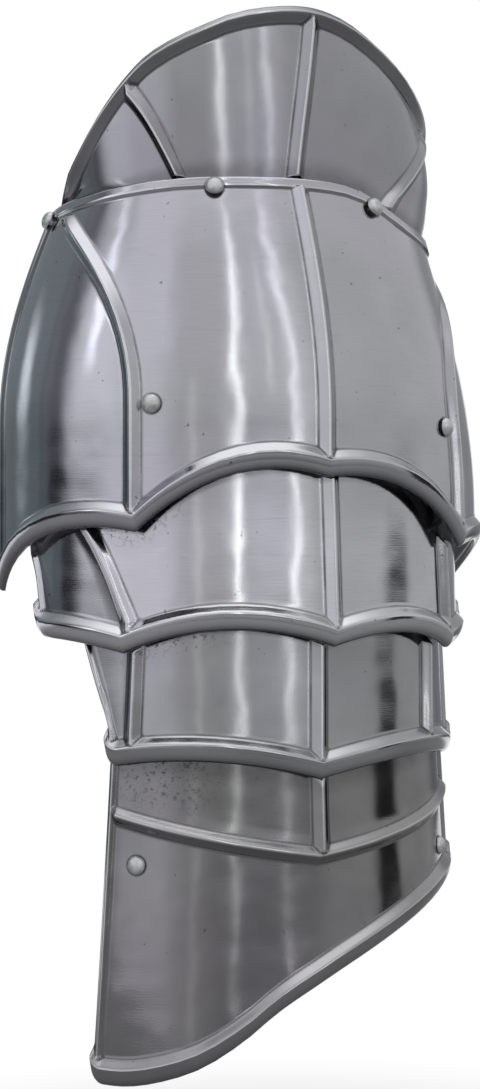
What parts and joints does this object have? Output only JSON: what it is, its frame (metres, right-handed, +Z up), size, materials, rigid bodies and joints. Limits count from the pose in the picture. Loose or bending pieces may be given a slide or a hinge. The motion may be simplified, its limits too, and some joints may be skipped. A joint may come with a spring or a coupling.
{
  "type": "laminar pauldron",
  "caption": "Right shoulder armour of overlapping domed steel plates with raised ridges and borders, on riveted leathers, with a neck tab and a buckled arm strap.",
  "frame": {"origin": "middle of the flat inner face of the neck tab's stem, where it lies against what the wearer hangs it from", "axes": "+Z up along the arm towards the neck, -Y out from the arm, +X towards the wearer's front"},
  "size_m": [0.2212, 0.1458, 0.4504],
  "materials": {
    "plate_steel": "satin, brushed by hand",
    "rivet_steel": "matt, as cast and tumbled",
    "strap_leather": "vegetable tanned, waxed",
    "buckle_iron": "satin"
  },
  "bodies": {
    "shoulder": {"neck_plate": "plate_steel", "shoulder_plate": "plate_steel", "top_rivet_rear_corner": "rivet_steel", "top_rivet_rear_corner_burr": "rivet_steel", "top_rivet_rear": "rivet_steel", "top_rivet_rear_burr": "rivet_steel", "top_rivet_front": "rivet_steel", "top_rivet_front_burr": "rivet_steel", "top_rivet_front_corner": "rivet_steel", "top_rivet_front_corner_burr": "rivet_steel", "shoulder_rivet_rear": "rivet_steel", "shoulder_rivet_rear_burr": "rivet_steel", "shoulder_rivet_front": "rivet_steel", "shoulder_rivet_front_burr": "rivet_steel", "upper_leather_rear": "strap_leather", "upper_leather_front": "strap_leather", "neck_leather": "strap_leather"},
    "upper_lame": {"upper_lame": "plate_steel", "upper_lame_rivet_rear": "rivet_steel", "upper_lame_rivet_rear_burr": "rivet_steel", "middle_leather_rear": "strap_leather", "upper_lame_rivet_front": "rivet_steel", "upper_lame_rivet_front_burr": "rivet_steel", "middle_leather_front": "strap_leather"},
    "middle_lame": {"middle_lame": "plate_steel", "middle_lame_rivet_rear": "rivet_steel", "middle_lame_rivet_rear_burr": "rivet_steel", "lower_leather_rear": "strap_leather", "middle_lame_rivet_front": "rivet_steel", "middle_lame_rivet_front_burr": "rivet_steel", "lower_leather_front": "strap_leather"},
    "lower_plate": {"lower_plate": "plate_steel", "lower_plate_rivet_rear": "rivet_steel", "lower_plate_rivet_rear_burr": "rivet_steel", "strap_rivet_rear": "rivet_steel", "strap_rivet_rear_burr": "rivet_steel", "lower_plate_rivet_front": "rivet_steel", "lower_plate_rivet_front_burr": "rivet_steel", "strap_rivet_front": "rivet_steel", "strap_rivet_front_burr": "rivet_steel", "arm_strap": "strap_leather", "buckle_strap": "strap_leather", "strap_keeper": "strap_leather"},
    "buckle_frame": {"buckle_frame": "buckle_iron"},
    "buckle_prong": {"buckle_prong": "buckle_iron"}
  },
  "joints": [
    {"name": "upper_articulation", "type": "hinge", "parent": "shoulder", "child": "upper_lame", "pos_m": [0, -0.00851, -0.167], "axis": [1, 0, 0], "range_deg": [-8, 0], "deforming": ["upper_leather_rear", "upper_leather_front"]},
    {"name": "middle_articulation", "type": "hinge", "parent": "upper_lame", "child": "middle_lame", "pos_m": [0, -0.00692, -0.216], "axis": [1, 0, 0], "range_deg": [-8, 0], "deforming": ["middle_leather_rear", "middle_leather_front"]},
    {"name": "lower_articulation", "type": "hinge", "parent": "middle_lame", "child": "lower_plate", "pos_m": [0, -0.00572, -0.2645], "axis": [1, 0, 0], "range_deg": [-8, 0], "deforming": ["lower_leather_rear", "lower_leather_front"]},
    {"name": "buckle_frame_swivel", "type": "hinge", "parent": "lower_plate", "child": "buckle_frame", "pos_m": [0.024, 0.09253, -0.312], "axis": [0, 0, -1], "range_deg": [0, 6]},
    {"name": "buckle_prong_swing", "type": "hinge", "parent": "buckle_frame", "child": "buckle_prong", "pos_m": [0.024, 0.09253, -0.312], "axis": [0, 0, -1], "range_deg": [0, 8]}
  ]
}
